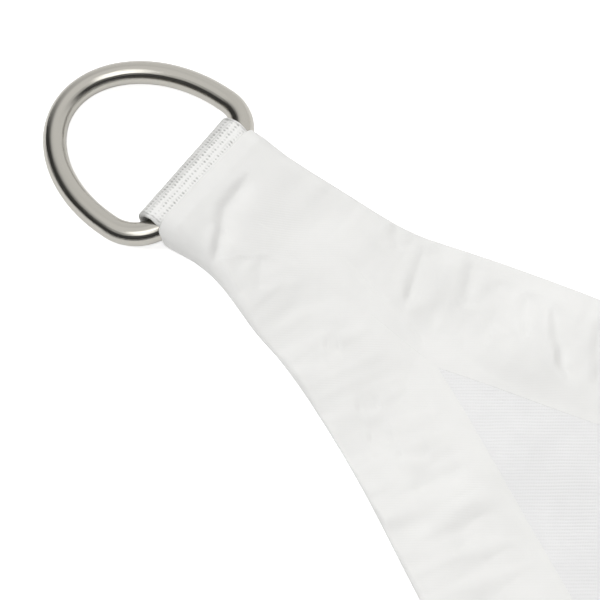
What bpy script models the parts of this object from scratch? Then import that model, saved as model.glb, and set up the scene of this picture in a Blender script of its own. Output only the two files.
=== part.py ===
"""A triangular shade sail lying loose on the ground, with a webbing loop and a D-ring at each corner.

Units are metres, +Z up. The ground is z = 0. The sail is three times the same corner, a third of a
turn apart. Each corner has its own plan coordinates: x runs from the D-ring's bar into the sail,
along the corner's middle line, y runs to its left, and the three middle lines meet at the centre.
"""

import math

import bmesh
import bpy
import numpy as np
from mathutils import Matrix

# The sail as a whole
EYE_SPACING = 3.0  # from the eye of one D-ring to the next
EYE_TO_BAR = 0.018  # from the middle of a ring's eye to the middle of its bar
SAIL_CENTRE = (0.0032, 0.4316)  # puts the origin under the middle of the whole
CORNER_TURNS = {"a": 150.0, "b": 30.0, "c": -90.0}  # which way each corner points, degrees from +X
CHORD_ANGLE = math.radians(30.0)  # from a corner's middle line to the straight line along an edge

# The concave edges
EDGE_TURN = math.radians(9.3)  # how far an edge turns from its end to its middle
EDGE_START_OUT = 0.0036  # how far outside the straight line the edge's arc starts
NECK_HALF_WIDTH = 0.0183
NECK_FLARE = 0.045
NECK_BLEND = 0.0021
NECK_UNTIL = 0.4  # beyond here the neck no longer bears on the edge
NECK_OFFSET = -0.0039  # the ring sits this far to the right of the corner's middle line
NECK_STRAIGHTENS = 0.090
ROWS_TURN_BY = 0.045  # rows of points lie straight across the mouth, and square to the edge from here

# Cloth
CLOTH = 0.0010
HEM_THICKNESS = 0.0024
HEM_WIDTH = 0.0305
HEM_STEP = 0.0010
MOUTH_SKEW = -0.068  # the mouth leans this much, and less and less up to MOUTH_SKEW_UNTIL
MOUTH_SKEW_UNTIL = 0.050
SLEEVE_TAPER = ((0.000, 0.0126), (0.006, 0.0124), (0.013, 0.0102), (0.021, 0.0070), (0.030, 0.0061),
                (0.042, 0.0034), (0.060, 0.0024))  # distance into the sail, height of the sleeve

# Webbing loop
WEB_WIDTH = 0.0345
WEB_THICKNESS = 0.0015
WEB_GAP = 0.0003  # between the loop's two ends, and under them
WRAP_GAP = 0.0005  # between the loop and the wire
WEB_PINCH_X = 0.020  # where the two ends of the loop come together
WEB_END_X = 0.028
LOOP_TOP = ((0.0125, 0.0022), (0.0050, 0.0046))  # its upper side rises to the bar: x, height over the bar
LOOP_HOLE_TOP = ((0.0115, 0.0006), (0.0045, 0.0030))
LOOP_HOLE_TIP = ((-0.0015, 0.0), (-0.0005, 0.0001), (-0.0015, 0.0002))  # from the pinch: x, height over the floor
LOOP_FLOOR = (0.010, 0.015)  # points along the loop's lower side
LOOP_TURNS = 9
WEB_STATIONS = (0.0, 0.0122, 0.0141, 0.0158, WEB_WIDTH / 2.0)  # distances from the bar's middle

# D-ring of round wire
WIRE_RADIUS = 0.003
RING_HALF_WIDTH = 0.0229  # to the middle of the wire
RING_BEND = 0.01065
RING_SHOULDER = 0.0123  # where the straight sides end and the bow begins
RING_BOW = 0.0305
RING_TURN = math.radians(4.8)  # the ring is turned this far in its loop
RING_TURN_FADES = (-0.004, 0.014)  # the loop is turned with it up to here, and not at all from here
RING_SLIDE = -0.0004  # the ring has slid this far along its bar
RING_TILT = math.radians(1.4)  # the stiff loop holds it nearly level
BAR_HEIGHT = CLOTH + WEB_GAP + WEB_THICKNESS + WRAP_GAP + WIRE_RADIUS

# Soft ridges where the cloth stands off the ground: both ends, height and half width
RIDGES = (
    # x0, y0, x1, y1, height, half width
    (-1.02, 0.98, -0.20, 0.62, 0.016, 0.120),
    (-0.70, 0.56, 0.10, 0.24, 0.013, 0.130),
    (0.30, 0.98, 1.05, 0.86, 0.014, 0.120),
    (0.16, 0.62, 0.78, 0.28, 0.017, 0.125),
    (-0.40, 0.16, -0.16, -0.62, 0.015, 0.115),
    (0.34, 0.02, 0.14, -0.70, 0.013, 0.120),
    (-0.10, -0.30, 0.02, -1.00, 0.010, 0.105),
    (-0.25, 1.08, 0.28, 1.00, 0.009, 0.110),
)

# Main creases pressed into the sleeve and hems beside each ring: both ends, depth and half width
CREASES = (
    # x0, y0, x1, y1, depth, half width
    (0.008, 0.006, 0.016, -0.015, 0.0012, 0.005),
    (0.050, 0.022, 0.058, 0.006, 0.0007, 0.005),
    (0.077, 0.030, 0.086, 0.018, 0.0005, 0.005),
    (0.066, -0.022, 0.086, -0.016, 0.0004, 0.005),
    (0.089, -0.028, 0.097, -0.014, 0.0005, 0.005),
)


def smooth(t):
    """0 below 0, 1 above 1 and an even curve between."""
    t = np.clip(t, 0.0, 1.0)
    return t * t * (3.0 - 2.0 * t)


def distance_to_line(x, y, x0, y0, x1, y1):
    """Distance from the line between two points, and how far along it the nearest point is."""
    dx, dy = x1 - x0, y1 - y0
    along = np.clip(((x - x0) * dx + (y - y0) * dy) / (dx * dx + dy * dy), 0.0, 1.0)
    return np.hypot(x - x0 - along * dx, y - y0 - along * dy), along


def bar_distance():
    """From the sail's centre to the middle of a ring's bar."""
    return EYE_SPACING / math.sqrt(3.0) - EYE_TO_BAR


def edge_points(along):
    """Points of an edge in its corner's plan, at distances along the straight line between corners.

    The edge is an arc that runs parallel to the straight line at its middle. Near the corner it
    runs smoothly into the side of the neck.
    """
    middle = bar_distance() * math.cos(CHORD_ANGLE)
    radius = middle / math.sin(EDGE_TURN)
    sag = radius * (1.0 - math.cos(EDGE_TURN)) - EDGE_START_OUT
    inward = sag - (radius - np.sqrt(radius ** 2 - (middle - along) ** 2))
    x = along * math.cos(CHORD_ANGLE) + inward * math.sin(CHORD_ANGLE)
    y = along * math.sin(CHORD_ANGLE) - inward * math.cos(CHORD_ANGLE)
    neck = NECK_HALF_WIDTH + NECK_FLARE * x
    near = (neck + y) / 2.0 + np.sqrt(((neck - y) / 2.0) ** 2 + NECK_BLEND ** 2)
    return x, np.where(x < NECK_UNTIL, near, y)


def row_positions():
    """Distances along an edge from the mouth to its middle, close at the corner and wider apart later."""
    middle = bar_distance() * math.cos(CHORD_ANGLE)
    rows = [0.0]
    while rows[-1] < middle - MOUTH_ROW:
        rows.append(rows[-1] + min(FIRST_ROW_GAP + ROW_GROWTH * rows[-1], WIDEST_ROW_GAP))
    rows = np.array(rows)
    return MOUTH_ROW + rows * (middle - MOUTH_ROW) / rows[-1]


MOUTH_ROW = 0.0032  # distance along an edge at which the sleeve's mouth lies
FIRST_ROW_GAP, ROW_GROWTH, WIDEST_ROW_GAP = 0.0070, 0.088, 0.090
HEM_COLUMNS = (0.0, 0.0065, 0.0150, 0.0230, HEM_WIDTH)
PANEL_COLUMNS = (HEM_WIDTH + HEM_STEP, 0.045, 0.075, 0.125, 0.19, 0.27, 0.36, 0.45, 0.54, 0.63, 0.70)
LAST_SPACING = 0.070
SNAP_SHARE = 0.4  # a column this near the middle line, as a share of its own spacing, joins it
SAME = 1e-6


def half_corner():
    """One side of a corner, from the mouth to the middle of the edge, as plan points and triangles.

    Rows cross from the edge to the corner's middle line, square to the edge. Columns keep a fixed
    distance from the edge, so the hem keeps its width, and end where they reach the middle line.
    """
    along = row_positions()
    x, y = edge_points(along)
    step = 1e-4
    x_near, y_near = edge_points(along + step)
    x_before, y_before = edge_points(np.maximum(along - step, 0.0))
    tangent = np.stack([x_near - x_before, y_near - y_before], axis=1)
    tangent /= np.linalg.norm(tangent, axis=1)[:, None]
    inward = np.stack([tangent[:, 1], -tangent[:, 0]], axis=1)
    square = smooth(x / ROWS_TURN_BY)[:, None]
    inward = inward * square + np.array([[0.0, -1.0]]) * (1.0 - square)
    inward /= np.linalg.norm(inward, axis=1)[:, None]
    reach = -y / inward[:, 1]
    columns = np.array(HEM_COLUMNS + PANEL_COLUMNS)
    spacing = np.diff(columns, append=columns[-1] + LAST_SPACING)
    depth = np.minimum(columns[None, :], reach[:, None])
    depth = np.where(reach[:, None] - depth < SNAP_SHARE * spacing[None, :], reach[:, None], depth)
    depth = np.concatenate([depth, reach[:, None]], axis=1)
    px = x[:, None] + depth * inward[:, 0:1]
    py = y[:, None] + depth * inward[:, 1:2]
    py = np.where(np.isclose(depth, reach[:, None]), 0.0, py)
    hem = depth <= HEM_WIDTH + SAME
    hem |= np.isclose(depth, reach[:, None]) & (reach[:, None] <= HEM_WIDTH + HEM_STEP)
    rows, cols = px.shape
    index = np.arange(rows * cols).reshape(rows, cols)
    a, b, c, d = index[:-1, :-1], index[1:, :-1], index[1:, 1:], index[:-1, 1:]
    faces = np.concatenate([np.stack([a, b, c], -1).reshape(-1, 3), np.stack([a, c, d], -1).reshape(-1, 3)])
    return px.ravel(), py.ravel(), hem.ravel(), depth.ravel(), faces


def skewed(x, y):
    """Plan x with the skew of the mouth added."""
    return x + MOUTH_SKEW * y * (1.0 - smooth(x / MOUTH_SKEW_UNTIL))


def neck_shift(x):
    """How far the neck leans to one side of the corner's middle line, at a distance into the sail."""
    return NECK_OFFSET * (1.0 - smooth(x / NECK_STRAIGHTENS))


def placed(x, y, turn):
    """Plan points of a corner, moved to the sail."""
    out = math.radians(turn)
    into = out + math.pi
    start_x = SAIL_CENTRE[0] + bar_distance() * math.cos(out)
    start_y = SAIL_CENTRE[1] + bar_distance() * math.sin(out)
    return (start_x + x * math.cos(into) - y * math.sin(into),
            start_y + x * math.sin(into) + y * math.cos(into))


def ground_gap(x, y):
    """How far the cloth's underside stands off the ground: 0 where it lies, and soft ridges elsewhere."""
    gap = np.zeros_like(x)
    for x0, y0, x1, y1, height, half_width in RIDGES:
        distance, along = distance_to_line(x, y, x0, y0, x1, y1)
        across = np.cos(np.clip(distance / half_width, 0.0, 1.0) * math.pi / 2.0) ** 2
        gap = np.maximum(gap, height * across * (0.55 + 0.45 * np.sin(along * math.pi)))
    return gap


def cloth_height(x, y, hem):
    """Thickness of the cloth over the ground side: panel, hem, or the raised sleeve, less its creases."""
    table = np.array(SLEEVE_TAPER)
    height = np.where(hem, HEM_THICKNESS, CLOTH)
    height = np.where(hem, np.maximum(height, np.interp(x, table[:, 0], table[:, 1])), height)
    for x0, y0, x1, y1, depth, half_width in CREASES:
        distance, _ = distance_to_line(x, y, x0, y0, x1, y1)
        height = height - depth * np.cos(np.clip(distance / half_width, 0.0, 1.0) * math.pi / 2.0) ** 2
    return height


def material(name, colour, roughness, metallic=0.0):
    """A plain finish of one colour."""
    made = bpy.data.materials.new(name)
    made.use_nodes = True
    shader = made.node_tree.nodes["Principled BSDF"]
    shader.inputs["Base Color"].default_value = (*colour, 1.0)
    shader.inputs["Roughness"].default_value = roughness
    shader.inputs["Metallic"].default_value = metallic
    return made


def collection(name):
    """A new collection in the scene."""
    made = bpy.data.collections.new(name)
    bpy.context.scene.collection.children.link(made)
    return made


def mesh_object(name, points, faces, group, finish=None):
    """A mesh object whose faces all point outwards."""
    mesh = bpy.data.meshes.new(name)
    mesh.from_pydata([tuple(p) for p in points], [], [tuple(int(i) for i in f) for f in faces])
    shape = bmesh.new()
    shape.from_mesh(mesh)
    bmesh.ops.remove_doubles(shape, verts=shape.verts, dist=2e-6)
    bmesh.ops.recalc_face_normals(shape, faces=shape.faces)
    shape.to_mesh(mesh)
    shape.free()
    if finish:
        mesh.materials.append(finish)
    made = bpy.data.objects.new(name, mesh)
    group.objects.link(made)
    return made


def welded_layer(corners):
    """The sail's plan as one layer: unique points, their values and the triangles between them."""
    points, values, faces, start = [], [], [], 0
    for px, py, gap, height, tris in corners:
        points.append(np.stack([px, py], axis=1))
        values.append(np.stack([gap, height], axis=1))
        faces.append(tris + start)
        start += len(px)
    points, values, faces = np.concatenate(points), np.concatenate(values), np.concatenate(faces)
    _, first, index = np.unique(np.round(points, 6), axis=0, return_index=True, return_inverse=True)
    faces = index.reshape(-1)[faces]
    whole = (faces[:, 0] != faces[:, 1]) & (faces[:, 1] != faces[:, 2]) & (faces[:, 2] != faces[:, 0])
    return points[first], values[first], faces[whole]


def facing_up(points, faces):
    """The triangles, each turned so that it faces up."""
    a, b, c = points[faces[:, 0]], points[faces[:, 1]], points[faces[:, 2]]
    area = (b[:, 0] - a[:, 0]) * (c[:, 1] - a[:, 1]) - (b[:, 1] - a[:, 1]) * (c[:, 0] - a[:, 0])
    return np.where((area < 0)[:, None], faces[:, ::-1], faces)


def rim_edges(faces):
    """The directed edges that only one triangle has."""
    edges = np.concatenate([faces[:, [0, 1]], faces[:, [1, 2]], faces[:, [2, 0]]])
    _, index, count = np.unique(np.sort(edges, axis=1), axis=0, return_inverse=True, return_counts=True)
    return edges[count[index.reshape(-1)] == 1]


def make_cloth(group, cutters, finish):
    """The sail: its underside and upper face, closed at the rim, with a pocket cut into each corner."""
    px, py, hem, depth, faces = half_corner()
    corners = []
    for turn in CORNER_TURNS.values():
        for side in (1.0, -1.0):
            x = skewed(px, py * side)
            y = py * side + neck_shift(px)
            world_x, world_y = placed(x, y, turn)
            gap = ground_gap(world_x, world_y)
            corners.append((world_x, world_y, gap, cloth_height(x, y, hem), faces))
    points, values, tris = welded_layer(corners)
    tris = facing_up(points, tris)
    rim = rim_edges(tris)
    count = len(points)
    lower = np.column_stack([points, values[:, 0]])
    upper = np.column_stack([points, values[:, 0] + values[:, 1]])
    walls = np.concatenate([
        np.column_stack([rim[:, 0], rim[:, 1] + count, rim[:, 0] + count]),
        np.column_stack([rim[:, 0], rim[:, 1], rim[:, 1] + count]),
    ])
    made = mesh_object("sail_cloth", np.concatenate([lower, upper]),
                       np.concatenate([tris + count, tris[:, ::-1], walls]), group, finish)
    for name, turn in CORNER_TURNS.items():
        cutter = pocket_cutter("pocket_" + name, turn, cutters)
        cut = made.modifiers.new(cutter.name, "BOOLEAN")
        cut.operation = "DIFFERENCE"
        cut.object = cutter
        cut.solver = "MANIFOLD"
    return made


# Sections of the pocket inside a sleeve. It starts wide, so that the sleeve's sides are cut back
# behind its mouth, clear of the ring's bends.
POCKET = (
    # x, half width, low, high
    (-0.0060, 0.0270, 0.0010, 0.0116),
    (0.0026, 0.0270, 0.0010, 0.0116),
    (0.0028, 0.0177, 0.0010, 0.0116),
    (0.0070, 0.0177, 0.0010, 0.0113),
    (0.0130, 0.0177, 0.0010, 0.0092),
    (0.0210, 0.0177, 0.0010, 0.0058),
    (0.0290, 0.0177, 0.0010, 0.0050),
)


def pocket_cutter(name, turn, group):
    """The inside of a corner's sleeve, as a closed box that changes size along the corner."""
    points = []
    for x, half_width, low, high in POCKET:
        for y, z in ((-half_width, low), (half_width, low), (half_width, high), (-half_width, high)):
            world_x, world_y = placed(skewed(x, y), y + neck_shift(x), turn)
            points.append((float(world_x), float(world_y), z))
    faces = [(0, 1, 2, 3)]
    for k in range(len(POCKET) - 1):
        faces += [(4 * k + i, 4 * k + (i + 1) % 4, 4 * k + 4 + (i + 1) % 4, 4 * k + 4 + i) for i in range(4)]
    last = 4 * (len(POCKET) - 1)
    faces.append((last, last + 1, last + 2, last + 3))
    mesh = bpy.data.meshes.new(name)
    mesh.from_pydata(points, [], faces)
    shape = bmesh.new()
    shape.from_mesh(mesh)
    bmesh.ops.recalc_face_normals(shape, faces=shape.faces)
    bmesh.ops.triangulate(shape, faces=shape.faces)
    shape.to_mesh(mesh)
    shape.free()
    made = bpy.data.objects.new(name, mesh)
    group.objects.link(made)
    made.hide_render = True
    made.display_type = "WIRE"
    return made


def wire_slice(y):
    """The wire cut across at a distance from the loop's middle: how far out its middle is, and its half width.

    Past the straight part the wire is a piece of a torus, so the cut widens as the wire bends away.
    """
    past = max(abs(y - RING_SLIDE) - (RING_HALF_WIDTH - RING_BEND), 0.0)
    eye_side = RING_BEND - math.sqrt((RING_BEND - WIRE_RADIUS) ** 2 - past ** 2)
    sail_side = RING_BEND - math.sqrt((RING_BEND + WIRE_RADIUS) ** 2 - past ** 2)
    return (eye_side + sail_side) / 2.0, (eye_side - sail_side) / 2.0


def loop_profile(y):
    """Outer and inner outline of the webbing loop at a distance from the bar's middle, seen along the bar."""
    reach, half_width = wire_slice(y)
    stretch = half_width / WIRE_RADIUS
    inner = WIRE_RADIUS + WRAP_GAP
    outer = inner + WEB_THICKNESS
    low = BAR_HEIGHT - outer
    top = low + 2.0 * WEB_THICKNESS + WEB_GAP
    turns = np.linspace(math.pi / 2.0, 1.5 * math.pi, LOOP_TURNS)
    around = [(-reach + outer * stretch * math.cos(a), BAR_HEIGHT + outer * math.sin(a)) for a in turns]
    outline = around + [(LOOP_FLOOR[0], low), (WEB_PINCH_X, low), (WEB_END_X, low), (WEB_END_X, top),
                        (WEB_PINCH_X, top)] + [(x, BAR_HEIGHT + up) for x, up in LOOP_TOP]
    hole_around = [(-reach + inner * stretch * math.cos(a), BAR_HEIGHT + inner * math.sin(a)) for a in turns]
    floor = low + WEB_THICKNESS
    hole = hole_around + [(x, floor) for x in LOOP_FLOOR]
    hole += [(WEB_PINCH_X + x, floor + up) for x, up in LOOP_HOLE_TIP]
    return outline, hole + [(x, BAR_HEIGHT + up) for x, up in LOOP_HOLE_TOP]


def turned_with_ring(x, y, z):
    """A point of the webbing, turned with the ring where it is on the bar and not where it is in the sleeve."""
    start, end = RING_TURN_FADES
    angle = RING_TURN * (1.0 - float(smooth((x - start) / (end - start))))
    return x * math.cos(angle) - y * math.sin(angle), x * math.sin(angle) + y * math.cos(angle), z


def make_webbing(name, turn, group, finish):
    """A loop of webbing round the bar: the same outline carried across its width, following the bar."""
    stations = [-y for y in WEB_STATIONS[:0:-1]] + list(WEB_STATIONS)
    rings = []
    for y in stations:
        outline, hole = loop_profile(y)
        rings.append([turned_with_ring(x, y, z) for x, z in outline + hole])
    count, turns = len(rings[0]), len(rings[0]) // 2
    points = [placed_point(p, turn) for ring in rings for p in ring]
    faces = []
    for k in range(len(stations) - 1):
        for start in (0, turns):
            for i in range(turns):
                j = (i + 1) % turns
                a, b = k * count + start + i, k * count + start + j
                faces += [(a, b, b + count), (a, b + count, a + count)]
    for base in (0, (len(stations) - 1) * count):
        for i in range(turns):
            j = (i + 1) % turns
            faces += [(base + i, base + j, base + turns + j), (base + i, base + turns + j, base + turns + i)]
    return mesh_object("webbing_" + name, points, faces, group, finish)


def placed_point(point, turn):
    """A point of the webbing in its corner's plan, leaned with the neck and moved to the sail."""
    x, y = placed(point[0], point[1] + neck_shift(point[0]), turn)
    return float(x), float(y), point[2]


def ring_outline():
    """The wire's middle line, flat: a straight bar, two bends, short sides and a bow, as x out and y across."""
    bends, bow = 6, 22
    straight = RING_HALF_WIDTH - RING_BEND
    points = [(0.0, -straight), (0.0, 0.0), (0.0, straight)]
    for k in range(1, bends + 1):
        a = math.radians(90.0 * k / bends)
        points.append((RING_BEND * (1 - math.cos(a)), straight + RING_BEND * math.sin(a)))
    for k in range(bow + 1):
        a = math.pi * k / bow
        points.append((RING_SHOULDER + RING_BOW * math.sin(a), RING_HALF_WIDTH * math.cos(a)))
    for k in range(bends, 0, -1):
        a = math.radians(90.0 * k / bends)
        points.append((RING_BEND * (1 - math.cos(a)), -straight - RING_BEND * math.sin(a)))
    return points


def make_ring(name, turn, group, finish):
    """A D-ring of round wire, turned a little in its loop, which holds it nearly level."""
    outline = ring_outline()
    curve = bpy.data.curves.new("d_ring_" + name, "CURVE")
    curve.dimensions = "3D"
    curve.bevel_depth = WIRE_RADIUS
    curve.bevel_resolution = 4
    curve.use_fill_caps = True
    spline = curve.splines.new("POLY")
    spline.points.add(len(outline) - 1)
    for point, (out, across) in zip(spline.points, outline):
        point.co = (-out, across, 0.0, 1.0)
    spline.use_cyclic_u = True
    curve.materials.append(finish)
    made = bpy.data.objects.new("d_ring_" + name, curve)
    slide = (-RING_SLIDE * math.sin(RING_TURN), RING_SLIDE * math.cos(RING_TURN))
    x, y = placed(slide[0], NECK_OFFSET + slide[1], turn)
    heading = math.radians(turn) + math.pi + RING_TURN
    made.matrix_world = (Matrix.Translation((float(x), float(y), BAR_HEIGHT))
                         @ Matrix.Rotation(heading, 4, "Z") @ Matrix.Rotation(-RING_TILT, 4, "Y"))
    group.objects.link(made)
    return made


def main():
    """Clears the scene and builds the sail, its loops and its rings."""
    for old in list(bpy.data.objects):
        bpy.data.objects.remove(old, do_unlink=True)
    sail, cutters = collection("shade_sail"), collection("cutters")
    cloth = material("white_cloth", (0.86, 0.86, 0.85), 0.75)
    webbing = material("white_webbing", (0.88, 0.88, 0.87), 0.8)
    steel = material("polished_steel", (0.62, 0.61, 0.58), 0.18, 1.0)
    make_cloth(sail, cutters, cloth)
    for name, turn in CORNER_TURNS.items():
        make_webbing(name, turn, sail, webbing)
        make_ring(name, turn, sail, steel)


main()
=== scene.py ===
"""Looks of a white triangular shade sail that lies loose on a pale floor.

A ribbed panel is edged by hems that run into a flat sleeve at each corner, and every sleeve holds a
webbing loop round the bar of a polished D-ring. Units are metres, +Z up, and the floor is z = 0. The
three corners are alike, a third of a turn apart. A corner's plan has x running from the ring's bar
into the sail along the corner's middle line, and y to its left.
"""

import logging
import math
from dataclasses import dataclass, field
from enum import Enum

import bmesh
import bpy
import numpy as np
from mathutils import Matrix, Vector


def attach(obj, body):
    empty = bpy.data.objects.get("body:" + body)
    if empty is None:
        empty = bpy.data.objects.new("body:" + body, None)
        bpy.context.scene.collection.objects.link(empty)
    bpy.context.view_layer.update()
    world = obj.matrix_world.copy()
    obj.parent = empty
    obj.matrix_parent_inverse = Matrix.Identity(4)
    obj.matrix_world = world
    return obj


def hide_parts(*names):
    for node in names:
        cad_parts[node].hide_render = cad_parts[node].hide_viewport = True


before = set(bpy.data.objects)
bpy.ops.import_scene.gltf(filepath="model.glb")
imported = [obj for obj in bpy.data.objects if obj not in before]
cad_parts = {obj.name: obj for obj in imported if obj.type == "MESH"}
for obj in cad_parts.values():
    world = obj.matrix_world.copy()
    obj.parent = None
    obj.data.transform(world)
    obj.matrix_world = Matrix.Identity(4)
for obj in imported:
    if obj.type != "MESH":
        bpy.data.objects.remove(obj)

LOG = logging.getLogger("shade_sail")
MM = 0.001
LATTICE = 64  # squares each way before a SoftNoise repeats


class Corner(Enum):
    """The three corners, by the way each one points, in degrees from +X."""

    A = 150.0
    B = 30.0
    C = -90.0

    @property
    def out(self) -> float:
        """The way the corner points, in radians."""
        return math.radians(self.value)

    @property
    def tag(self) -> str:
        """The corner's letter, as the names of its pieces end."""
        return self.name.lower()


def smooth(t: np.ndarray | float) -> np.ndarray:
    """0 below 0, 1 above 1, and t * t * (3 - 2 t) between."""
    t = np.clip(t, 0.0, 1.0)
    return t * t * (3.0 - 2.0 * t)


@dataclass(frozen=True)
class SailPlan:
    """The sail's outline, corner by corner."""

    eye_spacing: float = 3.0
    eye_to_bar: float = 0.018
    centre: tuple[float, float] = (0.0032, 0.4316)
    chord_angle: float = math.radians(30.0)
    edge_turn: float = math.radians(9.3)
    edge_start_out: float = 0.0036
    neck_half_width: float = 0.0183
    neck_flare: float = 0.045
    neck_blend: float = 0.0021
    neck_until: float = 0.4
    neck_offset: float = -0.0039
    neck_straightens: float = 0.090
    rows_turn_by: float = 0.045
    mouth_skew: float = -0.068
    mouth_skew_until: float = 0.050
    mouth_row: float = 0.0032
    waists: tuple[tuple[float, float, float, float], ...] = (
        # side, middle, half length, how much wider, as a share
        (-1.0, 0.017, 0.022, -0.150),
        (-1.0, 0.110, 0.045, 0.018),
        (1.0, 0.026, 0.026, 0.070),
        (1.0, 0.055, 0.050, 0.070),
    )
    hem_width: float = 0.0305

    @property
    def bar_distance(self) -> float:
        """From the sail's centre to the middle of a ring's bar."""
        return self.eye_spacing / math.sqrt(3.0) - self.eye_to_bar

    @property
    def middle(self) -> float:
        """From a corner to the middle of an edge, along the straight line between corners."""
        return self.bar_distance * math.cos(self.chord_angle)

    def edge(self, along: np.ndarray) -> tuple[np.ndarray, np.ndarray]:
        """Points of one edge, concave and running into the side of the neck.

        The edge is an arc: its distance inwards from the straight line is
        sag - (radius - sqrt(radius^2 - (middle - along)^2)). Near the corner it is joined to the
        neck's side by (neck + y) / 2 + sqrt(((neck - y) / 2)^2 + blend^2).

        Args:
            along: Distances along the straight line between corners.

        Returns:
            The plan x and y of each point.
        """
        radius = self.middle / math.sin(self.edge_turn)
        sag = radius * (1.0 - math.cos(self.edge_turn)) - self.edge_start_out
        inward = sag - (radius - np.sqrt(radius ** 2 - (self.middle - along) ** 2))
        x = along * math.cos(self.chord_angle) + inward * math.sin(self.chord_angle)
        y = along * math.sin(self.chord_angle) - inward * math.cos(self.chord_angle)
        neck = self.neck_half_width + self.neck_flare * x
        near = (neck + y) / 2.0 + np.sqrt(((neck - y) / 2.0) ** 2 + self.neck_blend ** 2)
        return x, np.where(x < self.neck_until, near, y)

    def rows(self, along: np.ndarray) -> tuple[np.ndarray, np.ndarray, np.ndarray]:
        """Where rows start on the edge, which way they run inwards, and how far to the middle line.

        Rows are square to the edge, and turn straight across the corner towards its mouth.

        Args:
            along: Distances along the straight line between corners.

        Returns:
            Starts (n, 2), unit directions (n, 2) and reaches (n).
        """
        step = 1e-4
        x, y = self.edge(along)
        x_next, y_next = self.edge(along + step)
        x_last, y_last = self.edge(np.maximum(along - step, 0.0))
        tangent = np.stack([x_next - x_last, y_next - y_last], axis=1)
        tangent /= np.linalg.norm(tangent, axis=1)[:, None]
        square = smooth(x / self.rows_turn_by)[:, None]
        inward = np.stack([tangent[:, 1], -tangent[:, 0]], axis=1) * square
        inward = inward + np.array([[0.0, -1.0]]) * (1.0 - square)
        inward /= np.linalg.norm(inward, axis=1)[:, None]
        return np.stack([x, y], axis=1), inward, -y / inward[:, 1]

    def spaced_rows(self, start: float, first: float, even_until: float, growth: float,
                    widest: float) -> np.ndarray:
        """Distances along an edge from a start to its middle, even at first and then wider apart.

        Args:
            start: Where the first row is.
            first: The gap between rows at first.
            even_until: Where the gaps begin to grow.
            growth: How much wider each gap is than the one before.
            widest: The widest gap.

        Returns:
            The distances, scaled a little so that the last one is exactly the middle.
        """
        found = [start]
        gap = first
        while found[-1] < self.middle:
            found.append(found[-1] + gap)
            if found[-1] > even_until:
                gap = min(gap * growth, widest)
        steps = np.array(found) - start
        return start + steps * (self.middle - start) / steps[-1]

    def neck_shift(self, x: np.ndarray) -> np.ndarray:
        """How far the neck leans to one side: offset * (1 - smooth(x / straightens))."""
        return self.neck_offset * (1.0 - smooth(x / self.neck_straightens))

    def skewed(self, x: np.ndarray, y: np.ndarray) -> tuple[np.ndarray, np.ndarray]:
        """Plan points with the sides' uneven width, the mouth's skew and the neck's lean added."""
        for side, middle, half_length, share in self.waists:
            y = y * (1.0 + share * (y * side > 0.0) * smooth(1.0 - np.abs(x - middle) / half_length))
        skew = self.mouth_skew * y * (1.0 - smooth(x / self.mouth_skew_until))
        return x + skew, y + self.neck_shift(x)

    def world(self, x: np.ndarray, y: np.ndarray, corner: Corner) -> tuple[np.ndarray, np.ndarray]:
        """Plan points of a corner, turned and moved to their place in the sail."""
        into = corner.out + math.pi
        start_x = self.centre[0] + self.bar_distance * math.cos(corner.out)
        start_y = self.centre[1] + self.bar_distance * math.sin(corner.out)
        return (start_x + x * math.cos(into) - y * math.sin(into),
                start_y + x * math.sin(into) + y * math.cos(into))


@dataclass(frozen=True)
class Stroke:
    """A crease or a ridge in the cloth: a line in a corner's plan, in millimetres."""

    line: tuple[tuple[float, float], ...]
    rise: float
    half_width: float
    shoulder: float = 0.25
    spread: float = 2.2
    shoulder_at: float = 2.1
    shoulder_width: float = 1.1
    fade_share: float = 0.22

    def height(self, x: np.ndarray, y: np.ndarray) -> np.ndarray:
        """Height of the stroke at plan points, in metres.

        With d the distance to the line and w the half width it is
        rise * (exp(-(d/w)^2) - shoulder * exp(-((d - shoulder_at w) / (shoulder_width w))^2)), faded at
        both ends, where w is also less. To the left of the line, as it runs, w is spread times wider, so
        that side slopes gently.

        Args:
            x: Plan x of the points, in metres.
            y: Plan y of the points, in metres.

        Returns:
            The heights, negative in a crease.
        """
        points = np.array(self.line) * MM
        lengths = np.hypot(*np.diff(points, axis=0).T)
        starts = np.concatenate([[0.0], np.cumsum(lengths)])
        best = np.full(x.shape, np.inf)
        where = np.zeros(x.shape)
        left = np.zeros(x.shape)
        for (x0, y0), (x1, y1), length, start in zip(points[:-1], points[1:], lengths, starts):
            t = ((x - x0) * (x1 - x0) + (y - y0) * (y1 - y0)) / length ** 2
            held = np.clip(t, 0.0, 1.0)
            distance = np.hypot(x - x0 - held * (x1 - x0), y - y0 - held * (y1 - y0))
            nearer = distance < best
            best = np.where(nearer, distance, best)
            where = np.where(nearer, (start + held * length) / starts[-1], where)
            side = (x1 - x0) * (y - y0) - (y1 - y0) * (x - x0)
            left = np.where(nearer, smooth(side / length / (self.half_width * MM) + 0.5), left)
        width = self.half_width * MM * (0.55 + 0.45 * np.sin(math.pi * where))
        width = width * (1.0 + (self.spread - 1.0) * left)
        core = np.exp(-(best / width) ** 2)
        beside = np.exp(-((best - self.shoulder_at * width) / (self.shoulder_width * width)) ** 2)
        fade = smooth(where / self.fade_share) * smooth((1.0 - where) / self.fade_share)
        return self.rise * MM * fade * (core - self.shoulder * beside)


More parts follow.
